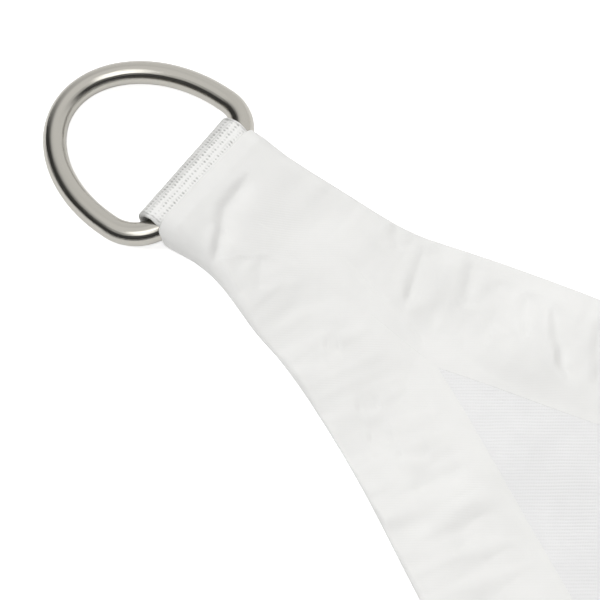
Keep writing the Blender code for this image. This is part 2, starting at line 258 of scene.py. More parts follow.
class SoftNoise:
    """Uneven waves: fixed random heights on a square lattice, blended by t^3 (t (6 t - 15) + 10)."""

    def __init__(self, seed: int, cell: float) -> None:
        """Draws the lattice.

        Args:
            seed: Fixes the draw.
            cell: Size of the lattice's squares.
        """
        self.cell = cell
        self.values = np.random.default_rng(seed).uniform(-1.0, 1.0, (LATTICE, LATTICE))

    def __call__(self, x: np.ndarray, y: np.ndarray) -> np.ndarray:
        """Reads the waves at points.

        Args:
            x: The points' x.
            y: The points' y.

        Returns:
            Heights from -1 to 1.
        """
        grid_x, grid_y = x / self.cell, y / self.cell
        ix, iy = np.floor(grid_x).astype(int), np.floor(grid_y).astype(int)
        u, v = (t * t * t * (t * (6.0 * t - 15.0) + 10.0) for t in (grid_x - ix, grid_y - iy))
        left, right = ix % LATTICE, (ix + 1) % LATTICE
        low, high = iy % LATTICE, (iy + 1) % LATTICE
        near, far = self.values[left, low], self.values[right, low]
        near_up, far_up = self.values[left, high], self.values[right, high]
        return (near * (1 - u) + far * u) * (1 - v) + (near_up * (1 - u) + far_up * u) * v


@dataclass(frozen=True)
class Lie:
    """How the loose sail lies: flat on the floor, with broad soft ridges across it."""

    ridges: tuple[tuple[float, ...], ...] = (
        # x0, y0, x1, y1, height, half width
        (-1.02, 0.98, -0.20, 0.62, 0.016, 0.120),
        (-0.70, 0.56, 0.10, 0.24, 0.013, 0.130),
        (0.30, 0.98, 1.05, 0.86, 0.014, 0.120),
        (0.16, 0.62, 0.78, 0.28, 0.017, 0.125),
        (-0.40, 0.16, -0.16, -0.62, 0.015, 0.115),
        (0.34, 0.02, 0.14, -0.70, 0.013, 0.120),
        (-0.10, -0.30, 0.02, -1.00, 0.010, 0.105),
        (-0.25, 1.08, 0.28, 1.00, 0.009, 0.110),
    )

    def gap(self, x: np.ndarray, y: np.ndarray) -> np.ndarray:
        """How far the cloth's underside stands off the floor.

        Each ridge is height * cos^2(pi d / 2 w) * (0.55 + 0.45 sin(pi t)), with d the distance to its
        line, w its half width and t the share of the way along it. The highest one counts.

        Args:
            x: World x of the points.
            y: World y of the points.

        Returns:
            The gaps.
        """
        found = np.zeros_like(x)
        for x0, y0, x1, y1, height, half_width in self.ridges:
            dx, dy = x1 - x0, y1 - y0
            t = np.clip(((x - x0) * dx + (y - y0) * dy) / (dx * dx + dy * dy), 0.0, 1.0)
            distance = np.hypot(x - x0 - t * dx, y - y0 - t * dy)
            across = np.cos(np.clip(distance / half_width, 0.0, 1.0) * math.pi / 2.0) ** 2
            found = np.maximum(found, height * across * (0.55 + 0.45 * np.sin(t * math.pi)))
        return found


class Shell:
    """Grids of points gathered into one closed mesh."""

    def __init__(self) -> None:
        """Starts with nothing."""
        self.points: list[np.ndarray] = []
        self.faces: list[np.ndarray] = []
        self.caps: list[np.ndarray] = []
        self.values: list[np.ndarray] = []
        self.count = 0

    def grid(self, x: np.ndarray, y: np.ndarray, z: np.ndarray, ring: bool = False,
             value: np.ndarray | None = None) -> np.ndarray:
        """Adds a grid of points with a face between each four.

        Args:
            x: World x, rows by columns.
            y: World y.
            z: World z.
            ring: Whether the last column joins the first.
            value: A number kept with each point, for its finish.

        Returns:
            The index of each point, rows by columns.
        """
        x, y, z = np.broadcast_arrays(x, y, z)
        index = self.count + np.arange(x.size).reshape(x.shape)
        self.points.append(np.stack([x, y, z], axis=-1).reshape(-1, 3))
        self.values.append(np.zeros(x.size) if value is None else np.broadcast_to(value, x.shape).ravel())
        self.count += x.size
        for start, end in zip(index[:-1], index[1:]):
            self.strip(start, end, ring)
        return index

    def strip(self, start: np.ndarray, end: np.ndarray, ring: bool = False) -> None:
        """Adds faces between two lines of points that are already there."""
        if ring:
            start, end = np.append(start, start[0]), np.append(end, end[0])
        self.faces.append(np.stack([start[:-1], end[:-1], end[1:], start[1:]], axis=-1))

    def cap(self, line: np.ndarray) -> None:
        """Closes a ring of points with one face."""
        self.caps.append(line)

    def build(self, name: str, finish: bpy.types.Material, value_name: str = "") -> bpy.types.Object:
        """Makes the object: doubles merged, faces pointing outwards, shaded smooth.

        Args:
            name: The piece's name.
            finish: Its material.
            value_name: The name under which the points' numbers are kept, if they are.

        Returns:
            The object, at the origin.
        """
        faces = [tuple(f) for f in np.concatenate(self.faces).tolist()]
        faces += [tuple(line.tolist()) for line in self.caps]
        mesh = bpy.data.meshes.new(name)
        mesh.from_pydata(np.concatenate(self.points).tolist(), [], faces)
        if value_name:
            kept = mesh.attributes.new(value_name, "FLOAT", "POINT")
            kept.data.foreach_set("value", np.concatenate(self.values).astype(np.float32))
        shape = bmesh.new()
        shape.from_mesh(mesh)
        bmesh.ops.remove_doubles(shape, verts=shape.verts, dist=1e-6)
        bmesh.ops.recalc_face_normals(shape, faces=shape.faces)
        shape.to_mesh(mesh)
        shape.free()
        mesh.materials.append(finish)
        mesh.shade_smooth()
        made = bpy.data.objects.new(name, mesh)
        bpy.context.scene.collection.objects.link(made)
        LOG.info("%s: %d points, %d faces", name, len(mesh.vertices), len(mesh.polygons))
        return made


class Nodes:
    """A material's or world's nodes, added and joined in short calls."""

    def __init__(self, tree: bpy.types.NodeTree) -> None:
        """Takes the tree to add to."""
        self.tree = tree

    def add(self, kind: str, links: dict | None = None, **settings: object) -> bpy.types.Node:
        """Adds a node.

        Args:
            kind: The node's type.
            links: For each input, by name or number, a socket to join to it or a value for it.
            settings: The node's own properties.

        Returns:
            The node.
        """
        node = self.tree.nodes.new(kind)
        for key, value in settings.items():
            setattr(node, key, value)
        self.feed(node, links or {})
        return node

    def feed(self, node: bpy.types.Node, links: dict) -> None:
        """Joins a node's inputs to sockets, or gives them values.

        Args:
            node: The node.
            links: For each input, by name or number, the socket or the value.
        """
        for key, value in links.items():
            if isinstance(value, bpy.types.NodeSocket):
                self.tree.links.new(value, node.inputs[key])
            else:
                node.inputs[key].default_value = value

    def math(self, operation: str, first: object, second: object = 0.0) -> bpy.types.NodeSocket:
        """A sum on one or two numbers or sockets."""
        return self.add("ShaderNodeMath", {0: first, 1: second}, operation=operation).outputs[0]

    def between(self, value: object, low: float, high: float, to_low: float = 0.0,
                to_high: float = 1.0) -> bpy.types.NodeSocket:
        """A value taken evenly from one range to another, with soft ends."""
        node = self.add("ShaderNodeMapRange", {0: value, 1: low, 2: high, 3: to_low, 4: to_high},
                        interpolation_type="SMOOTHSTEP")
        return node.outputs[0]

    def noise(self, place: object, scale: float, detail: float,
              roughness: float = 0.5) -> bpy.types.NodeSocket:
        """Noise at a place, about 0.5 on average."""
        links = {"Vector": place, "Scale": scale, "Detail": detail, "Roughness": roughness}
        return self.add("ShaderNodeTexNoise", links).outputs["Fac"]

    def mix(self, share: object, first: object, second: object) -> bpy.types.NodeSocket:
        """A colour between two."""
        node = self.add("ShaderNodeMix", {0: share, 6: first, 7: second}, data_type="RGBA")
        return node.outputs[2]


def colour(red: float, green: float, blue: float) -> tuple[float, float, float, float]:
    """An opaque colour, in linear light."""
    return (red, green, blue, 1.0)


def fresh_material(name: str) -> tuple[bpy.types.Material, Nodes, bpy.types.Node]:
    """A new material, its nodes and its shader."""
    made = bpy.data.materials.new(name)
    made.use_nodes = True
    return made, Nodes(made.node_tree), made.node_tree.nodes["Principled BSDF"]


@dataclass(frozen=True)
class ClothFinish:
    """Woven white cloth: fine ribs one way, finer threads across, faint unevenness."""

    name: str
    light: tuple[float, float, float] = (0.74, 0.74, 0.73)
    dark: tuple[float, float, float] = (0.70, 0.70, 0.69)
    roughness: float = 0.85
    rib_pitch: float = 0.0008
    rib_depth: float = 0.00004
    rib_turn: float = math.radians(12.5)
    thread_share: float = 0.35
    patch_scale: float = 38.0
    sheen: float = 0.12

    def make(self) -> bpy.types.Material:
        """Makes the finish.

        Returns:
            The material.
        """
        made, nodes, shader = fresh_material(self.name)
        place = nodes.add("ShaderNodeTexCoord").outputs["Object"]
        turned = nodes.add("ShaderNodeMapping", {"Vector": place, "Rotation": (0.0, 0.0, -self.rib_turn)})
        turned = turned.outputs[0]
        wave_scale = 2.0 * math.pi / (20.0 * self.rib_pitch)
        ribs = nodes.add("ShaderNodeTexWave", {"Vector": turned, "Scale": wave_scale, "Distortion": 1.2,
                                               "Detail": 2.0, "Detail Scale": 0.3},
                         wave_type="BANDS", bands_direction="Y").outputs["Fac"]
        threads = nodes.add("ShaderNodeTexWave", {"Vector": turned, "Scale": 2.1 * wave_scale,
                                                  "Distortion": 0.8, "Detail": 1.0},
                            wave_type="BANDS", bands_direction="X").outputs["Fac"]
        patches = nodes.noise(place, self.patch_scale, 4.0, 0.6)
        shade = nodes.mix(nodes.between(patches, 0.35, 0.68), colour(*self.dark), colour(*self.light))
        weave = nodes.math("ADD", ribs, nodes.math("MULTIPLY", threads, self.thread_share))
        bump = nodes.add("ShaderNodeBump", {"Strength": 1.0, "Distance": self.rib_depth, "Height": weave})
        nodes.feed(shader, {"Base Color": shade, "Normal": bump.outputs[0], "Roughness": self.roughness,
                            "Sheen Weight": self.sheen})
        return made


@dataclass(frozen=True)
class WebbingFinish:
    """Woven polyester webbing, with painted shade in the dots and grooves between its threads."""

    name: str = "white_webbing"
    thread: tuple[float, float, float] = (0.75, 0.75, 0.74)
    # painted shade: the colour put where the weave number is low, in the dots and grooves between threads
    between: tuple[float, float, float] = (0.31, 0.31, 0.30)
    roughness: float = 0.55
    fibre_scale: float = 5200.0
    fibre_depth: float = 0.00004
    sheen: float = 0.2

    def make(self) -> bpy.types.Material:
        """Makes the finish, whose colour follows the piece's own weave number, which carries painted shade:
        dark in the dots and grooves between threads and over the loop's eye side.

        Returns:
            The material.
        """
        made, nodes, shader = fresh_material(self.name)
        place = nodes.add("ShaderNodeTexCoord").outputs["Object"]
        weave = nodes.add("ShaderNodeAttribute", attribute_name="weave").outputs["Fac"]
        fibres = nodes.noise(place, self.fibre_scale, 2.0)
        # the weave number holds painted shade, so the dots, grooves and the loop's eye side come out darker
        share = nodes.math("ADD", weave, nodes.between(fibres, 0.3, 0.7, -0.10, 0.10))
        shade = nodes.mix(nodes.between(share, 0.22, 0.95), colour(*self.between), colour(*self.thread))
        bump = nodes.add("ShaderNodeBump", {"Strength": 0.6, "Distance": self.fibre_depth, "Height": fibres})
        nodes.feed(shader, {"Base Color": shade, "Normal": bump.outputs[0], "Roughness": self.roughness,
                            "Sheen Weight": self.sheen})
        return made


@dataclass(frozen=True)
class SteelFinish:
    """Polished stainless steel with faint rub marks."""

    name: str = "polished_steel"
    tint: tuple[float, float, float] = (0.50, 0.485, 0.445)
    roughness: tuple[float, float] = (0.05, 0.13)
    smear_scale: float = 160.0
    mark_scale: float = 900.0
    mark_depth: float = 0.00004

    def make(self) -> bpy.types.Material:
        """Makes the finish.

        Returns:
            The material.
        """
        made, nodes, shader = fresh_material(self.name)
        place = nodes.add("ShaderNodeTexCoord").outputs["Object"]
        smears = nodes.noise(place, self.smear_scale, 5.0)
        fine = nodes.noise(place, self.mark_scale, 3.0)
        round_wire = nodes.add("ShaderNodeAttribute", attribute_name="round_wire").outputs["Fac"]
        line = nodes.math("ADD", nodes.math("MULTIPLY", round_wire, 9.0), nodes.math("MULTIPLY", smears, 1.2))
        streaks = nodes.add("ShaderNodeTexNoise", {"W": line, "Scale": 1.0, "Detail": 4.0, "Roughness": 0.7},
                            noise_dimensions="1D").outputs["Fac"]
        marks = nodes.math("ADD", nodes.math("MULTIPLY", streaks, 2.0), smears)
        bump = nodes.add("ShaderNodeBump", {"Strength": 0.45, "Distance": self.mark_depth, "Height": marks})
        nodes.feed(shader, {"Base Color": colour(*self.tint), "Metallic": 1.0, "Normal": bump.outputs[0],
                            "Roughness": nodes.between(fine, 0.35, 0.7, *self.roughness)})
        return made


@dataclass(frozen=True)
class FloorFinish:
    """The studio's plain pale floor."""

    name: str = "studio_floor"
    shade: tuple[float, float, float] = (0.93, 0.93, 0.93)
    glow: float = 0.56

    def make(self) -> bpy.types.Material:
        """Makes the finish.

        Returns:
            The material.
        """
        made, nodes, shader = fresh_material(self.name)
        seen = nodes.add("ShaderNodeLightPath").outputs["Is Camera Ray"]
        nodes.feed(shader, {"Base Color": colour(*self.shade), "Roughness": 1.0, "Specular IOR Level": 0.0,
                            "Emission Color": colour(1.0, 1.0, 1.0),
                            "Emission Strength": nodes.math("MULTIPLY", seen, self.glow)})
        return made


@dataclass(frozen=True)
class HemFolds:
    """The creases and puckers of one corner's sleeve and hems, in its plan, in millimetres."""

    strokes: tuple[Stroke, ...] = (
        # behind the mouth: a hard crease that turns and runs out at the right side, and softer folds by it
        Stroke(((8.3, 5.6), (9.2, 0.4), (10.3, -6.6), (13.6, -11.6), (16.0, -15.1), (17.3, -17.5),
                (21.9, -19.1)), -0.85, 1.5),
        Stroke(((11.4, -10.6), (13.8, -14.6), (15.2, -17.0)), 0.30, 1.2, 0.4, 1.2),
        Stroke(((24.0, -8.0), (27.5, -12.5), (30.5, -15.5)), -0.40, 1.8),
        Stroke(((14.0, -11.0), (19.8, -16.3), (24.4, -18.7), (27.6, -20.0)), 0.45, 1.6),
        # left hem
        Stroke(((40.9, 22.1), (47.4, 16.1)), -0.40, 1.6),
        Stroke(((50.0, 22.5), (52.3, 19.8), (54.9, 13.8), (58.4, 5.8)), -0.85, 1.5),
        Stroke(((62.0, 27.0), (70.0, 15.5)), -0.60, 2.2),
        Stroke(((70.0, 28.5), (78.5, 15.0)), -0.55, 2.4),
        Stroke(((77.1, 29.8), (85.2, 19.0)), -0.80, 1.8),
        Stroke(((83.4, 31.5), (89.9, 25.0), (101.0, 16.8)), -1.05, 1.8),
        Stroke(((94.0, 35.5), (103.0, 25.0), (110.0, 20.0)), -0.70, 2.2),
        # right hem
        Stroke(((50.6, -15.5), (54.1, -12.3)), -0.35, 1.5),
        Stroke(((66.7, -22.1), (70.5, -16.6)), -0.45, 1.5),
        Stroke(((73.7, -25.8), (77.8, -20.7)), -0.50, 1.6),
        Stroke(((81.2, -24.6), (87.8, -18.2)), -0.50, 1.4),
        Stroke(((89.5, -28.4), (96.5, -15.5)), -0.65, 2.0),
        Stroke(((106.0, -33.7), (106.9, -26.6), (115.0, -16.6)), -0.65, 2.0),
        Stroke(((110.7, -39.3), (113.6, -31.7), (119.2, -21.7)), -0.60, 1.8),
        # where the left hem is tucked under the right one
        Stroke(((38.0, 5.6), (45.0, 5.0), (54.9, 4.0), (61.2, 4.1), (67.4, 2.7), (76.3, 1.0)),
               -0.26, 1.0, 0.2),
    )
    wave: SoftNoise = field(default_factory=lambda: SoftNoise(7, 0.013))
    wave_height: float = 0.00052
    swell: SoftNoise = field(default_factory=lambda: SoftNoise(11, 0.034))
    swell_height: float = 0.00080
    pucker: SoftNoise = field(default_factory=lambda: SoftNoise(17, 0.0055))
    pucker_height: float = 0.00080
    pucker_until: float = 1.20
    pucker_stretch: float = 4.0
    pucker_from: float = 0.006
    pucker_grows_over: float = 0.030
    pucker_flat_over: float = 0.011
    pucker_ends_over: float = 0.15
    fine_scale: float = 2.3
    fine_share: float = 0.25

    def puckers(self, along: np.ndarray, depth: np.ndarray, across: np.ndarray, x: np.ndarray,
                side: float) -> np.ndarray:
        """Narrow waves that run across each hem and die out at its inner edge.

        Args:
            along: Distance along the sail's edge.
            depth: Distance in from the sail's edge.
            across: How far in the hem reaches.
            x: How far into the sail the row starts.
            side: 1 for the left side, -1 for the right.

        Returns:
            Their height.
        """
        found = self.pucker(along + side * 0.173, depth / self.pucker_stretch)
        fine = self.pucker(along * self.fine_scale - side * 0.07,
                           depth * self.fine_scale / self.pucker_stretch)
        reach = smooth((x - self.pucker_from) / self.pucker_grows_over)
        reach = reach * smooth((across - depth) / self.pucker_flat_over)
        reach = reach * smooth((self.pucker_until - along) / self.pucker_ends_over)
        return self.pucker_height * (found + self.fine_share * fine) * reach

    def height(self, x: np.ndarray, y: np.ndarray, world_x: np.ndarray, world_y: np.ndarray) -> np.ndarray:
        """Height added to the top of the sleeve and hems: all strokes, and two sizes of soft waves.

        Args:
            x: Plan x of the points.
            y: Plan y of the points.
            world_x: World x of the points.
            world_y: World y of the points.

        Returns:
            The heights.
        """
        found = self.wave_height * self.wave(world_x, world_y)
        found = (found + self.swell_height * self.swell(world_x, world_y)) * smooth((x + 0.002) / 0.02)
        for stroke in self.strokes:
            found = found + stroke.height(x, y)
        return found


@dataclass(frozen=True)
class Hems:
    """A corner's sleeve and the two hems that run from it, each to the middle of its edge."""

    plan: SailPlan
    lie: Lie
    folds: HemFolds
    corner: Corner
    tallness: tuple[tuple[float, float], ...] = (
        # into the sail, height of the sleeve or hem, in millimetres
        (0.0, 12.3), (5.0, 12.1), (8.0, 11.2), (13.0, 9.5), (19.0, 7.4), (25.0, 5.8), (32.0, 4.6),
        (40.0, 3.6), (50.0, 2.8), (62.0, 2.35), (120.0, 2.1))
    corner_radius: float = 0.005
    cloth: float = 0.0007
    pocket_end: float = 0.026
    inner_height: float = 0.00063
    edge_round: float = 0.00005
    panel_under: float = 0.00068
    edge_sinks: float = 0.00025
    over_panel: float = 0.00011
    mouth_cut_back: float = 0.0017
    mouth_cut_from: float = 0.0026
    mouth_cut_over: float = 0.009
    opens_from: float = 0.040
    opens_over: float = 0.020
    lowers_from: float = 0.004
    lowers_over: float = 0.0265
    quiet_edge: float = 0.007
    row_gap: float = 0.0005
    even_until: float = 0.150
    top_columns: int = 62
    arc_steps: int = 8
    under_columns: int = 11

    def rows(self) -> tuple[np.ndarray, int]:
        """Distances along the edge, with one row exactly where the two hems part.

        Returns:
            The distances, and the number of that row.
        """
        found = self.plan.spaced_rows(self.plan.mouth_row, self.row_gap, self.even_until, 1.08, 0.014)
        reach = self.plan.rows(found)[2]
        parting = float(np.interp(self.plan.hem_width, reach, found))
        at = int(np.argmin(np.abs(found - parting)))
        found[at] = parting
        return found, at

    def opening(self, x: np.ndarray) -> np.ndarray:
        """How far rows that start at x have changed from a closed sleeve, 0, to an open hem, 1."""
        return smooth((x - self.opens_from) / self.opens_over)

    def section(self, height: np.ndarray, across: np.ndarray, x: np.ndarray, inset: np.ndarray
                ) -> tuple[np.ndarray, np.ndarray, np.ndarray]:
        """Half of the sleeve's section at each row: over the top, round the side and back underneath.

        It is a rectangle with corners of radius r. Set in by o, its corners have radius r - o about
        the same centres: the top one is (r - (r - o) sin a, T - r + (r - o) cos a) as a goes from 0
        to a right angle, in distance from the edge and height, with T the height.

        Args:
            height: T of each row.
            across: How far each row reaches in.
            x: How far into the sail each row starts.
            inset: o of each row.

        Returns:
            Distance from the edge, height, and how much the folds lift each point, rows by columns.
        """
        height, across, x, inset = (v[:, None] for v in (height, across, x, inset))
        radius = np.minimum(self.corner_radius, height / 2.0)
        small = radius - inset
        opening = self.opening(x)
        t = np.concatenate([[0.0, 0.004, 0.012], np.linspace(0.03, 1.0, self.top_columns)])[None, :]
        top_d = across - (across - radius) * t
        lost = np.clip(1.0 - (across - top_d) / self.edge_round, 0.0, 1.0)
        lower = (self.inner_height - height) * smooth((top_d - self.lowers_from) / self.lowers_over)
        top_z = height - inset + lower * opening
        top_z = top_z - self.edge_round * (1.0 - np.sqrt(1.0 - lost ** 2)) * opening
        turn = np.linspace(0.0, math.pi / 2.0, self.arc_steps + 1)[None, :]
        over_d = radius - small * np.sin(turn[:, 1:])
        over_z = height - radius + small * np.cos(turn[:, 1:])
        below_d = radius - small * np.cos(turn)
        below_z = radius - small * np.sin(turn)
        t = np.linspace(0.0, 1.0, self.under_columns)[None, 1:] ** 2
        under_d = radius + (across - radius) * t
        raised = self.panel_under * smooth((x - 0.036) / 0.008) * smooth((under_d - radius) / 0.0006)
        sunk = self.edge_sinks * smooth((under_d - across + 0.0020) / 0.0015) * opening
        under_z = inset + raised - sunk
        d = np.concatenate([top_d, over_d, below_d, under_d], axis=1)
        z = np.concatenate([top_z, over_z, below_z, under_z], axis=1)
        lift = np.concatenate([np.ones_like(top_d), np.cos(turn[:, 1:]) ** 2 + 0.0 * over_d,
                               np.zeros_like(below_d), np.zeros_like(under_d)], axis=1)
        return d, z, lift

    def surface(self, along: np.ndarray, side: float, inset: np.ndarray, forward: np.ndarray
                ) -> tuple[np.ndarray, np.ndarray, np.ndarray]:
        """One side's surface, outside or inside, as world points.

        Args:
            along: Distance of each row along the edge.
            side: 1 for the left side, -1 for the right.
            inset: How far inside the outer face each row lies.
            forward: How far each row is moved out of the mouth.

        Returns:
            World x, y and z, rows by columns.
        """
        start, inward, reach = self.plan.rows(along)
        table = np.array(self.tallness) * MM
        height = np.interp(start[:, 0], table[:, 0], table[:, 1])
        across = np.minimum(reach, self.plan.hem_width)
        d, z, lift = self.section(height, across, start[:, 0], inset)
        x = start[:, 0:1] + d * inward[:, 0:1] - forward[:, None]
        y = start[:, 1:2] + d * inward[:, 1:2]
        closed = np.isclose(d, reach[:, None], atol=1e-9)
        x, y = self.plan.skewed(x, np.where(closed, 0.0, y) * side)
        low = smooth((0.80 - z / height[:, None]) / 0.55)
        at_mouth = 1.0 - smooth((start[:, 0:1] - self.mouth_cut_from) / self.mouth_cut_over)
        x = x + self.mouth_cut_back * low * at_mouth
        world_x, world_y = self.plan.world(x, y, self.corner)
        quiet = 1.0 - smooth((self.plan.hem_width - d) / self.quiet_edge)
        held = 1.0 - self.opening(start[:, 0:1]) * quiet
        raised = self.folds.height(x, y, world_x, world_y) * held
        raised = raised + self.folds.puckers(along[:, None], d, across[:, None], start[:, 0:1], side)
        least = self.inner_height + self.over_panel * smooth((across[:, None] - d) / 0.002)
        z = np.where(lift > 0.99, np.maximum(z + raised, least), z + lift * raised)
        return world_x, world_y, z + self.lie.gap(world_x, world_y)

    def build(self, finish: bpy.types.Material) -> bpy.types.Object:
        """Makes the outer faces, a rounded rim at the mouth, and the lining of the sleeve's pocket.

        Args:
            finish: The cloth's material.

        Returns:
            The piece.
        """
        shell = Shell()
        along, parting = self.rows()
        rim = np.linspace(math.pi / 2.0, -math.pi / 2.0, 7)
        rim_inset = self.cloth / 2.0 * (1.0 - np.sin(rim))
        inside = along[self.plan.rows(along)[0][:, 0] < self.pocket_end][::2]
        lining_along = np.concatenate([np.full(len(rim), along[0]), inside[1:]])
        lining_inset = np.concatenate([rim_inset, np.full(len(inside) - 1, self.cloth)])
        lining_forward = np.concatenate([self.cloth / 2.0 * np.cos(rim), np.zeros(len(inside) - 1)])
        ends = []
        for side in (1.0, -1.0):
            none = np.zeros(len(along))
            outer = shell.grid(*self.surface(along, side, none, none))
            shell.strip(outer[parting:, 0], outer[parting:, -1])
            shell.cap(outer[-1])
            lining = shell.grid(*self.surface(lining_along, side, lining_inset, lining_forward))
            ends.append(lining[-1])
        shell.cap(np.concatenate([ends[0], ends[1][::-1][1:-1]]))
        return shell.build("hems_" + self.corner.tag, finish)


@dataclass(frozen=True)
class Panel:
    """The sail's one big sheet, closed all round, with its rim inside the hems' folds."""

    plan: SailPlan
    lie: Lie
    starts: float = 0.048
    thickness: float = 0.0006
    rim_inset: float = 0.0030
    columns: int = 44
    row_gap: float = 0.0021
    even_until: float = 0.16
    clear_from: float = 0.001
    clear_over: float = 0.024
    small_wave: float = 0.00030
    large_wave: float = 0.0009
    strokes: tuple[Stroke, ...] = (
        Stroke(((101.5, -3.0), (104.4, 3.7)), 0.40, 2.2),
        Stroke(((114.2, -8.4), (119.3, 4.1)), 0.45, 2.6),
        Stroke(((131.3, -16.8), (131.2, -8.1)), 0.8, 3.0),
        Stroke(((88.0, -6.0), (96.0, -1.0), (108.0, -1.0)), 0.35, 2.6),
        Stroke(((150.0, -30.0), (178.0, -4.0), (220.0, 8.0)), 1.1, 6.0),
        Stroke(((170.0, 44.0), (190.0, 16.0), (240.0, -6.0)), 1.2, 7.0),
    )

    def waves(self, world_x: np.ndarray, world_y: np.ndarray) -> np.ndarray:
        """Small and large soft waves over the whole sail, never below 0."""
        small = self.small_wave * (1.0 + SoftNoise(21, 0.016)(world_x, world_y))
        return small + self.large_wave * (1.0 + SoftNoise(23, 0.085)(world_x, world_y))

    def heights(self, x: np.ndarray, y: np.ndarray, waves: np.ndarray, depth: np.ndarray) -> np.ndarray:
        """Height of the panel's underside over the lie of the sail: waves and folds, clear of the hems.

        Args:
            x: Plan x of the points.
            y: Plan y of the points.
            waves: The soft waves' height at the points.
            depth: Distance of the points in from the sail's edge.

        Returns:
            The heights.
        """
        clear = smooth((depth - self.plan.hem_width - self.clear_from) / self.clear_over)
        for stroke in self.strokes:
            waves = waves + stroke.height(x, y)
        return np.maximum(waves, 0.0) * clear

    def build(self, finish: bpy.types.Material) -> bpy.types.Object:
        """Makes the upper and lower faces of all six half corners, joined round the rim.

        Args:
            finish: The cloth's material.

        Returns:
            The piece.
        """
        shell = Shell()
        tried = np.linspace(0.0, 0.2, 2001)
        start_along = float(np.interp(self.starts, self.plan.edge(tried)[0], tried))
        along = self.plan.spaced_rows(start_along, self.row_gap, self.even_until, 1.06, 0.0165)
        start, inward, reach = self.plan.rows(along)
        share = np.linspace(0.0, 1.0, self.columns)[None, :]
        depth = self.rim_inset + (reach[:, None] - self.rim_inset) * share
        plan_x = start[:, 0:1] + depth * inward[:, 0:1]
        plan_y = np.where(share < 1.0, start[:, 1:2] + depth * inward[:, 1:2], 0.0)
        for corner in Corner:
            for side in (1.0, -1.0):
                x, y = self.plan.skewed(plan_x, plan_y * side)
                world_x, world_y = self.plan.world(x, y, corner)
                low = self.heights(x, y, self.waves(world_x, world_y), depth)
                low = low + self.lie.gap(world_x, world_y)
                under = shell.grid(world_x, world_y, low)
                over = shell.grid(world_x, world_y, low + self.thickness)
                shell.strip(under[:, 0], over[:, 0])
                shell.strip(under[0], over[0])
        return shell.build("panel", finish)


@dataclass(frozen=True)
class Ring:
    """A D-ring of round wire: a straight bar, two bends, short sides and a bow, held nearly level."""

    plan: SailPlan
    corner: Corner
    wire: float = 0.003
    half_width: float = 0.0229
    bend: float = 0.01065
    shoulder: float = 0.0123
    bow: float = 0.0305
    turn: float = math.radians(4.8)
    slide: float = -0.0004
    tilt: float = math.radians(1.4)
    bar_height: float = 0.0063
    round_steps: int = 28
    bar_steps: int = 12
    bend_steps: int = 18
    bow_steps: int = 120

    def outline(self) -> np.ndarray:
        """The wire's middle line, flat, as distances out from the bar and across it.

        The bends are quarter circles, and the bow is half an ellipse:
        (shoulder + bow sin a, half_width cos a).

        Returns:
            The points (n, 2), once round.
        """
        straight = self.half_width - self.bend
        turn = np.linspace(0.0, math.pi / 2.0, self.bend_steps + 1)
        bar_y = np.linspace(-straight, straight, self.bar_steps + 1)[:-1]
        bar = np.stack([np.zeros(self.bar_steps), bar_y], axis=1)
        bend = np.stack([self.bend * (1.0 - np.cos(turn)), straight + self.bend * np.sin(turn)], axis=1)
        around = np.linspace(0.0, math.pi, self.bow_steps + 1)
        bow = np.stack([self.shoulder + self.bow * np.sin(around), self.half_width * np.cos(around)], axis=1)
        return np.concatenate([bar, bend, bow, (bend * (1.0, -1.0))[::-1][:-1]])

    def placed(self, out: np.ndarray, across: np.ndarray, up: np.ndarray) -> np.ndarray:
        """Points of the flat ring, leaned, turned and moved to the corner's bar.

        Args:
            out: Distance out from the bar.
            across: Distance along the bar.
            up: Height over the flat ring's middle.

        Returns:
            World points, x, y and z in the last axis.
        """
        x = -out * math.cos(self.tilt) - up * math.sin(self.tilt)
        z = -out * math.sin(self.tilt) + up * math.cos(self.tilt)
        across = across + self.slide
        plan_x = x * math.cos(self.turn) - across * math.sin(self.turn)
        plan_y = x * math.sin(self.turn) + across * math.cos(self.turn)
        world_x, world_y = self.plan.world(plan_x, plan_y + self.plan.neck_offset, self.corner)
        return np.stack([world_x, world_y, z + self.bar_height], axis=-1)

    def build(self, finish: bpy.types.Material) -> bpy.types.Object:
        """Carries a circle of the wire's radius round the outline, square to it.

        Args:
            finish: The steel's material.

        Returns:
            The piece.
        """
        line = self.outline()
        ahead = np.roll(line, -1, axis=0) - np.roll(line, 1, axis=0)
        ahead /= np.linalg.norm(ahead, axis=1)[:, None]
        around = np.linspace(0.0, 2.0 * math.pi, self.round_steps + 1)[None, :-1]
        out = line[:, 0:1] + self.wire * np.cos(around) * ahead[:, 1:2]
        across = line[:, 1:2] - self.wire * np.cos(around) * ahead[:, 0:1]
        points = self.placed(out, across, self.wire * np.sin(around) + 0.0 * out)
        shell = Shell()
        index = shell.grid(points[..., 0], points[..., 1], points[..., 2], ring=True, value=np.sin(around))
        shell.strip(index[-1], index[0], ring=True)
        return shell.build("ring_" + self.corner.tag, finish, "round_wire")


